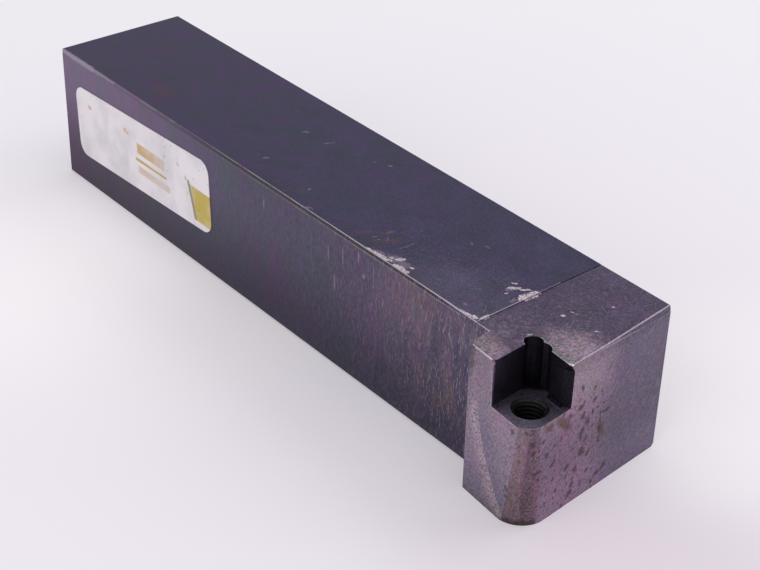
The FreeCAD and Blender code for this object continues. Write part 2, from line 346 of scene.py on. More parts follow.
steel = {
    "oxideTop": (0.080, 0.071, 0.136, 1),
    # a painted sheen on a broad zone of the top near the head
    "topPaintedSheen": (0.122, 0.106, 0.178, 1),
    "oxideTopFar": (0.083, 0.068, 0.132, 1),
    "oxideSide": (0.106, 0.090, 0.147, 1),
    "wornSide": (0.158, 0.120, 0.180, 1),
    "headTop": (0.125, 0.096, 0.160, 1),
    "headTopWorn": (0.36, 0.28, 0.35, 1),
    "flank": (0.315, 0.255, 0.315, 1),
    "flankStreak": (0.48, 0.37, 0.43, 1),
    "flankBlue": (0.235, 0.200, 0.300, 1),
    "nose": (0.202, 0.132, 0.156, 1),
    # painted shade at the foot of the nose and the flank, where they meet the floor
    "noseFoot": (0.06, 0.05, 0.045, 1),
    "endLeft": (0.262, 0.178, 0.258, 1),
    "endTop": (0.325, 0.245, 0.300, 1),
    "endRight": (0.150, 0.120, 0.186, 1),
    "pocketWall": (0.045, 0.038, 0.055, 1),
    "pocketFloor": (0.235, 0.205, 0.285, 1),
    "hole": (0.058, 0.054, 0.060, 1),
    # painted shade on the ground edge along the top of the shank
    "groundFootShade": (0.105, 0.088, 0.100, 1),
    "groundEdgeShade": (0.066, 0.056, 0.074, 1),
    # bare metal, also the colour of painted highlights and a painted glint
    "bareAndHighlight": (0.86, 0.78, 0.82, 1),
    "bareDim": (0.42, 0.33, 0.40, 1),
    "stepFace": (0.22, 0.185, 0.24, 1),
    "olive": (0.145, 0.122, 0.100, 1),
    "rust": (0.115, 0.055, 0.040, 1),
    "pit": (0.050, 0.024, 0.028, 1),
    "roughness": 0.44,
    "bumpStrength": 0.35,
    "bumpDistance": 0.00004,   # metres
    # factors on a colour
    "farTint": (0.98, 0.88, 0.84),
    "roundedTint": (0.84, 0.76, 0.72),
    "driftLightness": (0.4, 0.9, 0.9),
    "driftHue": (0.85, -0.3, 0.45),
    # places and sizes
    "stepStart": (64.75, 64.85),
    "stepLean": 0.0314,
    "pinAxis": (80.7, -16.65, 0),
    "holeRadius": 3.5,
    "reliefs": [((75.8, -12.0, 0), 1.8), ((78.16, -12.6, 0), 2.1)],
    "cornerward": (-0.707, 0.707, 0),      # from the pin to the pocket's corner
    "flankCut": ((114.3, 0, 28), 42.65),   # centre and radius of the streak's crisp border
    # zones: start, full, fading, end
    "stainAlong": (36, 54, 62, 68),
    "shoulderAlong": (68.2, 68.9, 70.0, 71.4),
    "pocketAcross": (-21.4, -21.1, -10.0, -9.9),
    "pocketHeight": (22.1, 22.2, 31.6, 31.7),
    "floorHeight": (22.1, 22.2, 22.3, 22.4),
    "streakInside": (-3.4, -0.8, -0.12, 0.12),
    "blueInside": (-0.1, 0.4, 1.2, 5.0),
    # the same for how much a face looks up
    "groundFacing": (0.12, 0.18, 0.4, 0.5),
    "bevelFacing": (0.5, 0.6, 0.8, 0.88),
    # lean of the scratches in radians, then cells per mm, length and width
    "upright": 1.57,
    "diagonal": 0.95,
    "scratches": [(0.4, 2.2, 0.075), (1.0, 0.5, 0.08)],
    # cells per mm, length, width, spread of the lean, share of cells
    "loosePits": [(0.6, 0.6, 0.34, 1.8, 0.3), (1.3, 0.34, 0.22, 2.4, 0.32)],
    # from, to, width, how broken, strength
    "wornEdgesAndHighlights": [
        ((-75, -15.86, 31.93), (57, -15.86, 31.93), 0.19, 0.2, 0.55),
        ((57, -15.86, 31.93), (68.7, -15.98, 31.8), 0.2, 0.1, 0.6),
        ((-78, -16, 30.8), (61, -16, 31.1), 0.14, 0.5, 0.16),
        # the far end's wide band, in three that fade
        ((-79.5, -15.9, 31.5), (-66, -15.9, 31.5), 0.85, 0.3, 0.85),
        ((-66, -15.9, 31.5), (-57, -15.9, 31.6), 0.6, 0.5, 0.6),
        ((-57, -15.9, 31.6), (-30, -15.9, 31.7), 0.3, 0.6, 0.35),
        ((65.27, -15.8, 32), (64.9, -4, 32), 0.16, 0.1, 0.7),
        ((64.9, -4, 32), (64.62, 5, 32), 0.13, 0.6, 0.45),
        ((65.0, 4, 31.75), (64.75, 15.8, 31.75), 0.16, 0.2, 0.1),
        ((80.2, -11.62, 31.75), (85.1, -12.02, 31.75), 0.15, 0.2, 0.62),
        ((84.4, -3.6, 31.25), (82.0, 16.0, 30.18), 0.2, 0.3, 0.2),
        # painted highlights along the pocket floor's front edges and the pocket's outer vertical edges
        ((76.3, -21.68, 22.2), (83.8, -22.34, 22.2), 0.18, 0.2, 0.32),
        ((83.8, -22.34, 22.2), (85.45, -20.6, 22.2), 0.18, 0.3, 0.24),
        ((85.45, -20.6, 22.2), (86.05, -18.9, 22.2), 0.16, 0.3, 0.2),
        ((86.05, -18.9, 22.2), (85.2, -11.2, 22.2), 0.14, 0.5, 0.12),
        ((75.5, -21.55, 31.3), (76.22, -21.67, 22.4), 0.16, 0.4, 0.26),
        ((85.15, -11.6, 31.0), (85.13, -10.98, 22.4), 0.15, 0.4, 0.16),
    ],
    # on the top: along, across, half length, half width, turn
    "bareSpotsAndGlint": [
        (34.8, -15.6, 2.2, 0.34, 2), (37.2, -15.45, 2.4, 0.6, 2), (39.3, -15.3, 1.2, 0.5, 25),
        (42.9, -15.5, 2.2, 1.15, 2), (44.6, -15.4, 1.0, 0.6, 0), (40.7, -13.3, 1.15, 0.8, 50),
        (39.2, -14.2, 0.6, 0.4, 20), (44.3, -13.6, 0.55, 0.4, 30),
        (59.75, -1.95, 0.75, 0.3, 53), (61.05, -3.1, 1.5, 0.62, 48), (62.7, -1.9, 1.5, 0.35, 48),
        (61.5, -5.5, 0.45, 0.3, 53), (64.55, -2.7, 3.2, 1.15, 86), (64.2, -3.6, 1.6, 0.9, 75),
        (65.05, -13.9, 1.6, 0.42, 84), (62.4, -15.6, 2.2, 0.36, 4), (64.0, -15.3, 0.9, 0.6, 0),
        (72.95, -2.15, 0.7, 0.5, 53), (73.0, -0.05, 0.6, 0.18, 30), (80.29, -1.02, 0.42, 0.26, 40),
        # the last spot below is a painted glint at the pocket's corner
        (76.14, 7.09, 0.34, 0.3, 0), (73.7, -11.2, 0.7, 0.2, 62), (85.2, -11.9, 0.9, 0.75, 0),
    ],
    # painted sheen on the top near the head
    "sheenSpots": [(57, -13.5, 24, 15, 0)],
    "rubbedSpots": [(83.5, -7.5, 10.0, 8.5, 0), (72.0, -20.2, 8.5, 4.5, -5)],
    "faintSpots": [(69.5, -14.5, 12, 8.0, 0), (78.0, -9.0, 8.5, 7.5, 0)],
    "dimSpots": [
        (39.8, -14.2, 3.0, 2.0, 10), (42.6, -13.9, 2.2, 1.5, 0), (36.3, -14.8, 2.4, 0.8, 8),
        (37.65, -9.2, 2.9, 0.2, 88), (31.2, -11.9, 1.2, 0.22, 71), (32.4, -12.3, 1.1, 0.2, 62),
        (31.7, -8.5, 1.7, 0.26, 97), (33.2, -10.4, 1.0, 0.2, 120), (50.5, -12.1, 0.8, 0.25, 60),
        (59.7, -13.7, 0.7, 0.5, 20), (64.0, -6.3, 1.3, 0.7, 80), (60.9, -4.2, 1.2, 0.8, 50),
        (34.66, -2.88, 0.5, 0.4, 0), (44.32, 1.18, 0.4, 0.4, 0), (46.99, 2.9, 0.9, 0.25, 20),
        (8.6, -10.5, 0.5, 0.45, 0), (-12.0, 3.65, 0.9, 0.6, 50), (-7.4, -9.8, 0.9, 0.45, 50),
        (10.6, 8.5, 0.6, 0.5, 0), (7.35, 7.1, 0.5, 0.4, 0), (-4.9, 4.8, 1.8, 0.35, 65),
        (74.0, 0.15, 0.9, 0.16, 20), (14.8, -15.1, 1.4, 0.4, 20),
    ],
    "brownSpots": [
        (70.9, -17.7, 3.2, 1.6, 40), (80.4, -10.6, 2.6, 0.5, -8), (28.6, -12.3, 3.2, 1.2, 60),
        (-5.0, -12.5, 1.6, 1.2, 0), (8.6, -12.2, 2.6, 1.0, 10), (14.5, -12.6, 2.2, 0.7, 12),
        (-46.5, -9.4, 5.5, 2.8, 0), (34.0, -10.8, 5.0, 1.4, 62), (31.2, -9.0, 1.4, 2.2, 0),
    ],
    # on the side: along, up, half length, half width, turn
    "sideScratches": [
        (23.95, 19.6, 2.4, 0.36, 90), (26.5, 26.9, 3.2, 0.22, 90), (31.4, 29.0, 2.0, 0.34, 90),
        (33.1, 25.5, 0.75, 0.55, 90), (36.0, 28.0, 1.3, 0.22, 90), (38.9, 22.4, 1.8, 0.2, 84),
        (49.3, 29.2, 1.5, 0.2, 88), (44.8, 21.7, 1.6, 0.2, 95), (51.6, 25.9, 1.4, 0.24, 78),
        (56.7, 25.9, 1.7, 0.22, 74), (58.5, 24.8, 1.3, 0.24, 102), (21.9, 25.4, 2.6, 0.2, 90),
        (0.4, 26.8, 1.6, 0.26, 88),
    ],
    # on the end face: across, up, half length, half width, turn
    "endPits": [
        (-8.15, 25.1, 0.94, 0.54, 70), (-4.4, 23.6, 0.62, 0.47, 45), (-4.25, 20.8, 1.06, 0.57, 50),
        (-8.7, 22.9, 0.5, 0.34, 60), (-8.15, 20.95, 0.94, 0.81, 60), (-7.2, 18.8, 1.19, 0.68, 35),
        (-5.6, 16.9, 1.06, 0.68, 60), (-4.5, 18.4, 0.88, 0.47, 110), (-0.8, 16.7, 0.96, 0.36, 15),
        (-2, 15.4, 0.96, 0.5, 75), (-1.9, 13.2, 0.88, 0.56, 95), (-2, 11.1, 0.72, 0.4, 80),
        (-7.1, 15.2, 1.75, 0.81, 62), (-6, 13.2, 1.12, 0.57, 40), (-11, 20.2, 1.25, 0.38, 80),
        (-13, 16.5, 0.56, 0.41, 40), (-14.6, 16, 0.69, 0.47, 40),
        (-7, 10.7, 1.25, 0.94, 50), (-4.9, 9.3, 0.88, 0.68, 60), (-14.7, 12.3, 1.25, 0.68, 45),
        (-10.4, 9.1, 0.88, 0.54, 30), (-8, 7.2, 1.12, 0.68, 110), (-1.4, 2.9, 1.25, 0.68, 20),
        (0.4, 3.7, 1.38, 0.61, 45), (-2.9, 1.7, 1, 0.54, 75), (-6, 3, 1, 0.54, 80),
        (-8.7, 4, 1, 0.54, 70), (-9.1, 2.3, 1.38, 0.94, 50), (-13.2, 5.2, 0.75, 0.54, 50),
        (-16.6, 15.1, 0.75, 0.68, 60),
    ],
    "endRust": [
        (-12.6, 19.8, 3.9, 1.5, -47), (-1.6, 13.2, 3.3, 1.3, -62), (0.0, 16.7, 1.1, 0.5, 0),
        (-16.5, 20.9, 1.6, 1.0, 0),
    ],
    # on the flank and nose: place, half size
    "nosePits": [
        ((81.8, -22.1, 7.8), 0.75), ((81.9, -22.1, 6.0), 0.5), ((85.4, -20.2, 18.5), 0.8),
        ((85.5, -19.7, 16.4), 0.65), ((85.5, -19.2, 11.8), 0.6), ((84.0, -21.9, 18.2), 0.45),
        ((84.0, -21.6, 14.6), 0.5), ((82.3, -22.2, 20.6), 0.7), ((84.9, -21.2, 21.2), 0.5),
    ],
}


# Where the faces lie that spots are set on
topHeight = 31.9
sideAcross = -16.15
endAlong = 84.0
endSlope = 0.114   # the end face falls back towards the right
spotDepth = 3


def onTop(spots):
    return [
        ((along, across, topHeight), (long, wide, spotDepth), (0, 0, turn))
        for along, across, long, wide, turn in spots]


def onSide(spots):
    return [
        ((along, sideAcross, height), (long, spotDepth, wide), (0, -turn, 0))
        for along, height, long, wide, turn in spots]


def onEnd(spots):
    return [
        ((endAlong - across * endSlope, across, height), (spotDepth, long, wide), (turn, 0, 0))
        for across, height, long, wide, turn in spots]


class SteelSurface:
    # what the masks are made from: place, facing, tones and zones
    def __init__(self, tree, place, normal):
        self.place = place
        self.x, self.y, self.z = x, y, z = parts(tree, place)
        self.nx, self.ny, self.nz = nx, ny, nz = parts(tree, normal)
        self.up = ramp(tree, nz, 0.6, 0.95)
        self.left = ramp(tree, ny, -0.6, -0.9)
        self.shankSide = both(tree, self.left, ramp(tree, x, 68.5, 68))

        # tones, drawn upright on the shank's side
        drawn = vectorMaths(tree, "MULTIPLY", place, (1.0, 1.0, 0.4))
        tones = useGroup(tree, "tones", Place=mixVector(tree, self.shankSide, place, drawn))
        self.cloud, self.speckle = tones["Cloud"], tones["Speckle"]
        self.drift, self.cast = tones["Drift"], tones["Cast"]
        self.driftRed, self.driftGreen, self.driftBlue = parts(tree, self.drift)
        self.ragged = vectorMaths(tree, "MULTIPLY_ADD", self.drift, (1.8, 1.8, 1.8), place)
        self.fray = maths(tree, "MULTIPLY", maths(tree, "SUBTRACT", self.speckle, 0.5), 0.9)

        # head: its top, rubbed in places, its end face and its flank
        step = maths(tree, "ADD", x, maths(tree, "MULTIPLY", y, steel["stepLean"]))
        self.head = ramp(tree, step, *steel["stepStart"])
        self.onHead = ramp(tree, x, 62, 68)
        faint = maths(tree, "MULTIPLY", spotField(tree, self.ragged, onTop(steel["faintSpots"])), 0.34)
        rubbed = maths(tree, "ADD", spotField(tree, self.ragged, onTop(steel["rubbedSpots"])), faint)
        rubbed = maths(tree, "ADD", rubbed, maths(tree, "MULTIPLY", self.driftBlue, 0.9))
        self.rubbed = ramp(tree, rubbed, 0.0, 0.9)
        self.front = both(tree, ramp(tree, nx, 0.9, 0.98), ramp(tree, x, 81.0, 81.4))
        self.flank = both(tree, ramp(tree, ny, -0.25, -0.6), ramp(tree, y, -20.5, -21.0))

        # nose: browner towards its right half and its foot
        onNose = both(tree, ramp(tree, ny, -0.14, -0.3), ramp(tree, z, 22.4, 22.2))
        noseRight = both(tree, ramp(tree, nx, 0.4, 0.88), onNose, ramp(tree, z, 21.5, 11, 0.4, 0.85))
        self.noseFoot = both(tree, ramp(tree, nx, 0.0, 0.3), onNose, ramp(tree, z, 18, 4, 0.0, 0.8))
        grain = ramp(tree, self.speckle, 0.3, 0.6, 0.6, 1.0)
        self.brown = both(tree, either(tree, noseRight, self.noseFoot), grain)

        # pocket and pin hole
        pocket = both(
            tree, between(tree, z, steel["pocketHeight"]), ramp(tree, x, 73.8, 73.9),
            between(tree, y, steel["pocketAcross"]))
        self.pocket = without(tree, pocket, self.front)
        self.flatPlace = flatVector(tree, x, y)
        fromPin = vectorMaths(tree, "DISTANCE", self.flatPlace, steel["pinAxis"])
        bore = ramp(tree, fromPin, steel["holeRadius"] + 0.1, steel["holeRadius"])
        self.hole = both(tree, bore, ramp(tree, z, 22.2, 22.1))

        # each face laid flat for the marks, upright on the left, diagonal on the end
        self.upward = maths(tree, "GREATER_THAN", nz, 0.5)
        sideways = without(tree, maths(tree, "LESS_THAN", ny, -0.5), self.upward)
        endways = without(tree, maths(tree, "SUBTRACT", 1.0, self.upward), sideways)
        flat = mixVector(tree, sideways, flatVector(tree, y, z), flatVector(tree, x, z))
        self.flat = mixVector(tree, self.upward, flat, self.flatPlace)
        upright, diagonal = both(tree, sideways, steel["upright"]), both(tree, endways, steel["diagonal"])
        self.lean = maths(tree, "ADD", upright, diagonal)


def shankColour(tree, at):
    wear = both(
        tree, ramp(tree, at.x, 14, 66, 0.0, 1.55), ramp(tree, at.z, 6, 26),
        ramp(tree, at.cloud, 0.25, 0.6))
    side = mixColour(tree, wear, steel["oxideSide"], steel["wornSide"])
    farLight = both(tree, ramp(tree, at.x, 2, -75, 0.0, 0.98), ramp(tree, at.z, 3, 30, 0.3, 1.0))
    shade = both(
        tree, ramp(tree, at.z, 24, 2, 0.94, 0.54), maths(tree, "ADD", 1.0, farLight),
        ramp(tree, at.x, 54, 66, 1.0, 1.12))
    side = tinted(tree, ramp(tree, at.x, -10, -60), brighter(tree, side, shade), steel["farTint"])
    blotch = maths(tree, "ADD", at.cloud, maths(tree, "MULTIPLY", at.driftRed, 0.6))
    stained = both(
        tree, at.left, between(tree, at.x, steel["stainAlong"]), ramp(tree, at.z, 4, 12),
        ramp(tree, blotch, 0.42, 0.68, 0.0, 0.5))
    side = mixColour(tree, stained, side, steel["olive"])
    stepFace = both(tree, ramp(tree, at.nx, 0.8, 0.9), ramp(tree, at.x, 67, 66.5))
    side = mixColour(tree, stepFace, side, steel["stepFace"])
    top = mixColour(tree, ramp(tree, at.x, 0, -70), steel["oxideTop"], steel["oxideTopFar"])
    # painted sheen: a broad paler zone on the top near the head
    sheen = spotField(tree, at.ragged, onTop(steel["sheenSpots"]))
    sheen = maths(tree, "ADD", sheen, maths(tree, "MULTIPLY", at.driftGreen, 0.35))
    top = mixColour(tree, ramp(tree, sheen, 0.0, 0.9), top, steel["topPaintedSheen"])
    return mixColour(tree, at.up, side, top)


def flankColour(tree, at):
    # grainy streak along the cutter's arc, bluish inside it and at the left foot
    centre, radius = steel["flankCut"]
    fromCentre = vectorMaths(tree, "SUBTRACT", at.place, centre)
    spoke = vectorMaths(tree, "MULTIPLY", fromCentre, (1, 0, 1))
    inside = maths(tree, "SUBTRACT", radius, vectorMaths(tree, "LENGTH", spoke))
    inside = maths(tree, "ADD", inside, maths(tree, "MULTIPLY", at.driftRed, 0.5))
    streak = both(
        tree, between(tree, inside, steel["streakInside"]), ramp(tree, at.z, 23, 15),
        ramp(tree, at.speckle, 0.25, 0.6))
    within = both(tree, between(tree, inside, steel["blueInside"]), ramp(tree, at.z, 24, 15, 0.0, 0.7))
    leftFoot = both(tree, ramp(tree, inside, -2.6, -5.0), ramp(tree, at.z, 14, 5, 0.0, 0.55))
    colour = brighter(tree, steel["flank"][:3], ramp(tree, at.z, 20, 26, 1.0, 0.84))
    colour = mixColour(tree, streak, colour, steel["flankStreak"])
    colour = mixColour(tree, either(tree, within, leftFoot), colour, steel["flankBlue"])
    colour = brighter(tree, colour, ramp(tree, at.z, 12, 1, 1.0, 0.8))
    rounded = both(tree, ramp(tree, at.nx, 0.08, 0.35), ramp(tree, at.ny, -0.14, -0.3))
    return tinted(tree, rounded, colour, steel["roundedTint"])


def endColour(tree, at):
    # paler beside the pocket
    wear = ramp(tree, maths(tree, "ADD", at.y, maths(tree, "MULTIPLY", at.driftGreen, 9.0)), 4, -7)
    colour = mixColour(tree, wear, steel["endRight"], steel["endLeft"])
    shade = both(tree, ramp(tree, at.z, 12, 28, 0.86, 1.04), ramp(tree, at.z, 12, 2.5, 1.0, 1.3))
    colour = brighter(tree, colour, shade)
    topLeft = both(tree, ramp(tree, at.y, 4, -9), ramp(tree, at.z, 17, 26))
    colour = mixColour(tree, topLeft, colour, steel["endTop"])
    return brighter(tree, colour, ramp(tree, at.z, 28.3, 30.8, 1.0, 0.8))


def addNose(tree, at, colour):
    colour = mixColour(tree, at.brown, colour, steel["nose"])
    # painted shade: the nose and, more faintly, the flank go dark at their foot on the floor
    footed = either(tree, at.noseFoot, both(tree, at.flank, 0.3))
    return mixColour(tree, both(tree, ramp(tree, at.z, 1.8, 0.5), footed), colour, steel["noseFoot"])


def addPocket(tree, at, colour):
    wallEnd = both(tree, ramp(tree, at.nx, 0.15, 0.3), ramp(tree, at.ny, -0.3, -0.5))
    wallFoot = both(tree, ramp(tree, at.nz, 0.05, 0.2), ramp(tree, at.z, 24.5, 24))
    wallShade = ramp(tree, either(tree, wallEnd, wallFoot), 0.0, 1.0, 1.0, 0.45)
    colour = mixColour(tree, at.pocket, colour, brighter(tree, steel["pocketWall"][:3], wallShade))
    # the floor goes dark towards the pocket's corner
    onFloor = both(tree, ramp(tree, at.nz, 0.93, 0.99), between(tree, at.z, steel["floorHeight"]))
    fromPin = vectorMaths(tree, "SUBTRACT", at.flatPlace, steel["pinAxis"])
    inward = vectorMaths(tree, "DOT_PRODUCT", fromPin, steel["cornerward"])
    floorShade = both(
        tree, ramp(tree, inward, 1.5, 4.2, 1.0, 1.55), ramp(tree, at.x, 79, 76.5, 1.0, 0.85),
        ramp(tree, inward, 4.9, 6.5, 1.0, 0.12))
    colour = mixColour(tree, onFloor, colour, brighter(tree, steel["pocketFloor"][:3], floorShade))
    # darker on the upper sides of the ridges, and painted shade deeper down the hole
    ridgeDarkAndDepthShade = both(tree, ramp(tree, at.nz, 0.1, 0.6, 1.0, 0.22), ramp(tree, at.z, 21.7, 20.0, 1.0, 0.42))
    return mixColour(tree, at.hole, colour, brighter(tree, steel["hole"][:3], ridgeDarkAndDepthShade))


def addPaintedEdgeShade(tree, at, colour):
    # painted shade: on the ground edge along the top, then at the foot of the shoulder
    ground = both(
        tree, between(tree, at.nz, steel["groundFacing"]), ramp(tree, at.z, 30.4, 30.6),
        ramp(tree, at.x, 66, 65), ramp(tree, at.x, -60, 4))
    tone = mixColour(tree, ramp(tree, at.z, 31.2, 31.45), steel["groundFootShade"], steel["groundEdgeShade"])
    colour = mixColour(tree, ground, colour, tone)
    shoulder = both(tree, between(tree, at.x, steel["shoulderAlong"]), ramp(tree, at.z, 23, 29), at.left)
    return brighter(tree, colour, ramp(tree, shoulder, 0.0, 1.0, 1.0, 0.55))


def addMottling(tree, at, colour):
    # drift between purple and grey blue, then speckle
    spread = ramp(tree, at.x, -20, 66, 0.42, 0.62)
    hueShare = both(tree, at.driftRed, spread, ramp(tree, at.shankSide, 0.0, 1.0, 1.0, 0.75))
    hue = brighter(tree, steel["driftHue"], hueShare)
    lightness = vectorMaths(
        tree, "MULTIPLY_ADD", at.drift, brighter(tree, steel["driftLightness"], spread), (1, 1, 1))
    colour = vectorMaths(tree, "MULTIPLY", colour, vectorMaths(tree, "ADD", lightness, hue))
    depth = both(
        tree, ramp(tree, at.x, -60, 68, 0.15, 1.3), ramp(tree, at.y, 16, -6, 0.8, 1.0),
        maths(tree, "ADD", 1.0, both(tree, at.onHead, 0.45)),
        maths(tree, "ADD", 1.0, both(tree, at.up, at.head, at.rubbed, 0.55)))
    fine = maths(tree, "MULTIPLY", maths(tree, "SUBTRACT", at.speckle, 0.5), depth)
    clouds = both(tree, maths(tree, "SUBTRACT", at.cloud, 0.5), ramp(tree, at.up, 0.0, 1.0, 0.55, 0.75))
    tone = maths(tree, "ADD", 1.0, maths(tree, "ADD", fine, clouds))
    return tinted(tree, ramp(tree, at.x, 66, -10, 0.4, 1.0), brighter(tree, colour, tone), at.cast)


def addScratches(tree, at, colour):
    swing = maths(tree, "ADD", 0.7, maths(tree, "MULTIPLY", at.upward, 2.4))
    longer, shorter = [
        useGroup(
            tree, "marks", Flat=at.flat, Cells=cells, Length=length, Width=width, Lean=at.lean,
            Spread=swing, Share=0.6)["Field"]
        for cells, length, width in steel["scratches"]]
    scratched = both(
        tree, ramp(tree, either(tree, longer, shorter), 0.0, 0.5), ramp(tree, at.x, 0, 66, 0.12, 1.0),
        ramp(tree, at.z, 1, 16, 0.5, 1.0))
    scratched = without(tree, scratched, either(tree, at.pocket, at.hole))
    # fewer on the shank's top, but for the worn stretch
    wornStretch = both(tree, ramp(tree, at.x, 16, 34), ramp(tree, at.y, 5, -7))
    quiet = without(tree, ramp(tree, at.onHead, 1.0, 0.0, 0.35, 0.86), both(tree, wornStretch, 0.55))
    scratched = without(tree, scratched, both(tree, at.upward, quiet))
    strength = maths(tree, "ADD", 0.42, both(tree, at.shankSide, ramp(tree, at.x, 40, 62, 0.0, 0.2)))
    strokes = spotField(tree, at.place, onSide(steel["sideScratches"]))
    strokes = frayed(tree, strokes, at.fray, 0.05, 0.5, 0.34)
    colour = mixColour(tree, both(tree, strokes, at.shankSide), colour, steel["flankStreak"])
    return mixColour(tree, both(tree, scratched, strength), colour, steel["flankStreak"])


def addBareMetalAndHighlights(tree, at, colour):
    bevel = both(tree, between(tree, at.nz, steel["bevelFacing"]), ramp(tree, at.z, 29.5, 30), at.onHead)
    corner = both(tree, ramp(tree, at.x, 75.3, 75.6), ramp(tree, at.y, -20.2, -20.5))
    bevel = without(tree, bevel, corner)
    bareAndHighlight = both(
        tree, bevel, ramp(tree, at.cloud, 0.3, 0.6, 0.7, 1.0), ramp(tree, at.x, 78, 82, 1.0, 0.27))
    alongEdge = ramp(tree, at.x, -40, 30, 0.3, 1.0)
    # worn bare edges, and painted highlights along the pocket's edges
    for start, end, width, broken, strength in steel["wornEdgesAndHighlights"]:
        line = useGroup(
            tree, "edgeLine", Place=at.place, From=start, To=end, Width=width, Broken=broken,
            Cloud=at.cloud, Speckle=at.speckle)["Mask"]
        bareAndHighlight = either(tree, bareAndHighlight, both(tree, line, alongEdge, strength))
    # rims of the reliefs: worn bare in part, and painted glints
    for centre, radius in steel["reliefs"]:
        fromRelief = vectorMaths(tree, "DISTANCE", at.flatPlace, centre)
        rim = both(
            tree, ramp(tree, fromRelief, radius + 0.3, radius), ramp(tree, at.z, 31.5, 31.7), at.up,
            ramp(tree, at.driftGreen, -0.05, 0.1, 0.0, 0.55))
        bareAndHighlight = either(tree, bareAndHighlight, rim)
    uneven = vectorMaths(tree, "MULTIPLY_ADD", at.drift, (0.8, 0.8, 0.8), at.place)
    knocks = frayed(tree, spotField(tree, uneven, onTop(steel["bareSpotsAndGlint"])), at.fray, 0.1, 0.36)
    dim = frayed(tree, spotField(tree, at.ragged, onTop(steel["dimSpots"])), at.fray, 0.12, 0.6, 0.45)
    metalTone = mixColour(tree, ramp(tree, at.speckle, 0.35, 0.6), steel["bareDim"], steel["bareAndHighlight"])
    colour = mixColour(tree, both(tree, dim, at.up), colour, steel["bareDim"])
    colour = mixColour(tree, both(tree, knocks, ramp(tree, at.nz, 0.2, 0.6)), colour, metalTone)
    return mixColour(tree, bareAndHighlight, colour, steel["bareAndHighlight"])


def rustMask(tree, at):
    stain = frayed(tree, spotField(tree, at.ragged, onTop(steel["brownSpots"])), at.fray, 0.0, 0.9, 0.4)
    rust = frayed(tree, spotField(tree, at.ragged, onEnd(steel["endRust"])), at.fray, 0.05, 0.6, 0.7)
    return either(tree, both(tree, stain, at.up), both(tree, rust, at.front))


def pitMask(tree, at):
    endField = both(tree, spotField(tree, at.ragged, onEnd(steel["endPits"])), at.front)
    nosePits = [(centre, (size, size, size), (0, 0, 0)) for centre, size in steel["nosePits"]]
    noseField = spotField(tree, at.ragged, nosePits)
    # loose ones, large and small, on the end face and the nose
    large, small = [
        useGroup(
            tree, "marks", Flat=at.flat, Cells=cells, Length=length, Width=width, Lean=at.lean,
            Spread=spread, Share=share)["Field"]
        for cells, length, width, spread, share in steel["loosePits"]]
    loose = both(
        tree, either(tree, large, maths(tree, "MULTIPLY", small, 0.8)), either(tree, at.front, at.brown),
        ramp(tree, at.y, 3, -4), ramp(tree, at.z, 28, 19), ramp(tree, at.cloud, 0.38, 0.52, 0.35, 1.0))
    pits = frayed(tree, either(tree, endField, noseField, loose), at.fray, 0.04, 0.46)
    return both(tree, pits, ramp(tree, at.x, 78, 80))


def makeBlackenedSteel():
    material, tree, shader, place, normal = newMaterial("blackenedSteel")
    at = SteelSurface(tree, place, normal)
    headTop = mixColour(tree, at.rubbed, steel["headTop"], steel["headTopWorn"])
    colour = mixColour(tree, both(tree, at.up, at.head), shankColour(tree, at), headTop)
    colour = mixColour(tree, at.flank, colour, flankColour(tree, at))
    colour = mixColour(tree, at.front, colour, endColour(tree, at))
    for layer in (addNose, addPocket, addPaintedEdgeShade, addMottling, addScratches, addBareMetalAndHighlights):
        colour = layer(tree, at, colour)
    rust = rustMask(tree, at)
    pits = pitMask(tree, at)
    colour = mixColour(tree, rust, colour, steel["rust"])
    colour = mixColour(tree, maths(tree, "MULTIPLY", pits, 0.72), colour, steel["pit"])
    tree.links.new(colour, shader.inputs["Base Color"])

    # rust and pits are hardly metallic, and the hole is made dull and dark as painted shade
    dull = either(tree, rust, pits)
    loss = maths(tree, "ADD", maths(tree, "MULTIPLY", dull, 0.7), maths(tree, "MULTIPLY", at.hole, 0.85))
    tree.links.new(maths(tree, "SUBTRACT", 1.0, loss), shader.inputs["Metallic"])
    tree.links.new(ramp(tree, at.hole, 0.0, 1.0, 0.5, 0.1), shader.inputs["Specular IOR Level"])
    rough = maths(tree, "ADD", steel["roughness"], maths(tree, "MULTIPLY", dull, 0.3))
    rough = maths(tree, "ADD", rough, ramp(tree, at.cloud, 0.2, 0.8, -0.06, 0.06))
    tree.links.new(rough, shader.inputs["Roughness"])
    bump = addNode(tree, "Bump", {
        "Strength": steel["bumpStrength"], "Distance": steel["bumpDistance"], "Height": at.speckle})
    tree.links.new(bump.outputs[0], shader.inputs["Normal"])
    return material


# Paper sticker: soiled white, worn plain print

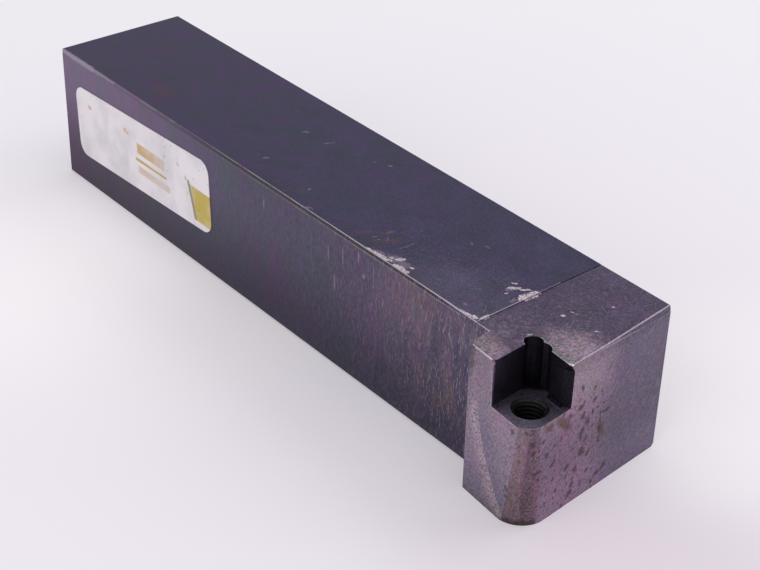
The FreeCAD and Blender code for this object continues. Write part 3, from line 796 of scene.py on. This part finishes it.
paper = {
    "white": (0.80, 0.755, 0.775, 1),
    "grey": (0.66, 0.63, 0.66, 1),
    "ochre": (0.50, 0.30, 0.015, 1),
    "yellow": (0.50, 0.37, 0.035, 1),
    "brown": (0.47, 0.27, 0.10, 1),
    "olive": (0.12, 0.10, 0.03, 1),
    "orange": (0.66, 0.27, 0.12, 1),
    # along, up, half length, half width, turn
    "specks": [(-67.8, 21.4, 1.1, 0.8, 0), (-52.7, 21.9, 0.9, 0.75, 0), (-51.7, 21.5, 0.8, 0.4, 0)],
    "greySpecks": [(-36.8, 21.8, 0.8, 0.6, 0), (-28.6, 20.2, 0.8, 0.9, 0), (-31.5, 22.2, 0.8, 0.5, 0)],
    "creases": [
        ((-59.6, -16.15, 24), (-62.3, -16.15, 13)), ((-34.6, -16.15, 23.5), (-33.9, -16.15, 11.5)),
    ],
    "ruleFrom": (-48.3, -16.15, 16.5),
    "ruleTo": (-36.3, -16.15, 16.6),
    # start, full, fading, end along and up the label, strength, colour
    "bands": [
        ((-48.2, -47.6, -37.2, -36.4), (17.9, 18.3, 20.5, 20.9), 0.8, "ochre"),
        ((-48.2, -47.2, -35.5, -34.5), (13.1, 13.6, 14.9, 15.3), 0.5, "brown"),
    ],
    # the same for the slanted block and the dark margin at its left, along their lean
    "lean": 0.3,
    "block": ((-21.4, -21.1, 0, 1), (11.3, 11.7, 19.2, 19.6)),
    "margin": ((-22.0, -21.7, -21.2, -20.9), (11.3, 11.7, 20.0, 20.4)),
    "roughness": 0.55,
}


def makePaper():
    material, tree, shader, place, _ = newMaterial("labelPaper")
    x, _, z = parts(tree, place)
    tones = useGroup(tree, "tones", Place=place, Coarse=0.12, Middle=0.5, Fine=1.6)
    cloud, speckle, drift = tones["Cloud"], tones["Speckle"], tones["Drift"]
    ragged = vectorMaths(tree, "MULTIPLY_ADD", drift, (1.5, 1.5, 1.5), place)
    fray = maths(tree, "SUBTRACT", speckle, 0.5)
    colour = mixColour(tree, ramp(tree, cloud, 0.38, 0.68), paper["white"], paper["grey"])
    for start, end in paper["creases"]:
        crease = useGroup(
            tree, "edgeLine", Place=ragged, From=start, To=end, Width=0.9, Broken=0.4, Cloud=cloud,
            Speckle=speckle)["Mask"]
        colour = mixColour(tree, maths(tree, "MULTIPLY", crease, 0.3), colour, paper["grey"])
    soiled = ramp(tree, spotField(tree, ragged, onSide(paper["greySpecks"])), 0.0, 0.8, 0.0, 0.35)
    colour = mixColour(tree, soiled, colour, paper["olive"])
    # plain worn bands where the print was, a rule between them and a slanted block
    worn = ramp(tree, maths(tree, "ADD", cloud, maths(tree, "MULTIPLY", fray, 0.25)), 0.64, 0.40, 0.45, 1.0)
    for along, upward, strength, name in paper["bands"]:
        band = both(tree, between(tree, x, along), between(tree, z, upward), worn, strength)
        colour = mixColour(tree, band, colour, paper[name])
    rule = useGroup(
        tree, "edgeLine", Place=place, From=paper["ruleFrom"], To=paper["ruleTo"], Width=0.5, Broken=0.3,
        Cloud=cloud, Speckle=speckle)["Mask"]
    colour = mixColour(tree, maths(tree, "MULTIPLY", rule, 0.85), colour, paper["ochre"])
    slant = maths(tree, "ADD", x, both(tree, z, paper["lean"]))
    slant = maths(tree, "ADD", slant, maths(tree, "MULTIPLY", fray, 0.3))
    block, margin = [
        both(tree, between(tree, slant, along), between(tree, z, upward))
        for along, upward in (paper["block"], paper["margin"])]
    printed = maths(tree, "ADD", 0.45, maths(tree, "MULTIPLY", worn, 0.5))
    colour = mixColour(tree, both(tree, block, printed), colour, paper["yellow"])
    colour = mixColour(tree, maths(tree, "MULTIPLY", margin, 0.75), colour, paper["olive"])
    grime = useGroup(
        tree, "marks", Flat=flatVector(tree, x, z), Cells=0.9, Length=0.4, Width=0.24, Spread=6.0,
        Share=0.1)["Field"]
    grime = both(tree, grime, ramp(tree, x, -44, -34, 0.25, 1.0))
    colour = mixColour(tree, ramp(tree, grime, 0.1, 0.6, 0.0, 0.34), colour, paper["olive"])
    specks = ramp(tree, spotField(tree, place, onSide(paper["specks"])), 0.0, 0.8, 0.0, 0.8)
    colour = mixColour(tree, specks, colour, paper["orange"])
    tree.links.new(colour, shader.inputs["Base Color"])
    shader.inputs["Roughness"].default_value = paper["roughness"]
    return material


steelMaterial = makeBlackenedSteel()
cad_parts["holder_body"].material_slots[0].material = steelMaterial
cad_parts["paper_label"].material_slots[0].material = makePaper()
print("materials on")


# Thread ridges in the pin hole, one profile swept along a helix

thread = {
    "low": 0.9,
    "high": 21.75,
    "pitch": 0.9,
    "rootRadius": 3.25,     # just inside the wall
    "crestRadius": 2.76,
    "rootWidth": 0.8,
    "crestWidth": 0.14,
    "pointsPerTurn": 40,
}


def threadTree():
    tree = bpy.data.node_groups.new("threadRidges", "GeometryNodeTree")
    for label, kind in (
            ("Turns", "Float"), ("Height", "Float"), ("Radius", "Float"), ("Depth", "Float"),
            ("Root Width", "Float"), ("Crest Width", "Float"), ("Points", "Int"), ("Finish", "Material")):
        tree.interface.new_socket(label, in_out="INPUT", socket_type="NodeSocket" + kind)
    tree.interface.new_socket("Geometry", in_out="OUTPUT", socket_type="NodeSocketGeometry")
    given = tree.nodes.new("NodeGroupInput").outputs
    out = tree.nodes.new("NodeGroupOutput").inputs

    def node(kind, inputs, **settings):
        return addNode(tree, kind, inputs, "GeometryNode", **settings).outputs[0]

    # reversed, the spiral runs right-handed
    helix = node("CurveSpiral", {
        "Resolution": given["Points"], "Rotations": given["Turns"], "Start Radius": given["Radius"],
        "End Radius": given["Radius"], "Height": given["Height"], "Reverse": True})
    helix = node("SetCurveNormal", {"Curve": helix}, mode="Z_UP")
    profile = node("CurvePrimitiveQuadrilateral", {
        "Height": given["Depth"], "Bottom Width": given["Root Width"], "Top Width": given["Crest Width"],
        "Offset": 0.0}, mode="TRAPEZOID")
    # turned so that the crest points to the axis
    profile = node("Transform", {"Geometry": profile, "Rotation": (0, 0, math.radians(90))})
    ridge = node("CurveToMesh", {"Curve": helix, "Profile Curve": profile, "Fill Caps": True})
    ridge = node("RealizeInstances", {"Geometry": ridge})
    ridge = node("SetMaterial", {"Geometry": ridge, "Material": given["Finish"]})
    tree.links.new(ridge, out["Geometry"])
    return tree


def makeThread():
    piece = bpy.data.objects.new("pinThread", bpy.data.meshes.new("pinThread"))
    bpy.context.scene.collection.objects.link(piece)
    modifier = piece.modifiers.new("thread", "NODES")
    tree = threadTree()
    modifier.node_group = tree
    height = thread["high"] - thread["low"]
    values = {
        "Turns": height / thread["pitch"],
        "Height": height * mm,
        "Radius": (thread["rootRadius"] + thread["crestRadius"]) / 2 * mm,
        "Depth": (thread["rootRadius"] - thread["crestRadius"]) * mm,
        "Root Width": thread["rootWidth"] * mm,
        "Crest Width": thread["crestWidth"] * mm,
        "Points": thread["pointsPerTurn"],
        "Finish": steelMaterial,
    }
    for socket in tree.interface.items_tree:
        if socket.in_out == "INPUT":
            modifier[socket.identifier] = values[socket.name]
    shape = piece.evaluated_get(bpy.context.evaluated_depsgraph_get())
    mesh = bpy.data.meshes.new_from_object(shape)
    piece.modifiers.remove(modifier)
    piece.data = mesh
    foot = (Vector(steel["pinAxis"]) + Vector((0, 0, thread["low"]))) * mm
    mesh.transform(Matrix.Translation(foot))
    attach(piece, "root")
    print("thread made,", len(mesh.polygons), "faces")


makeThread()
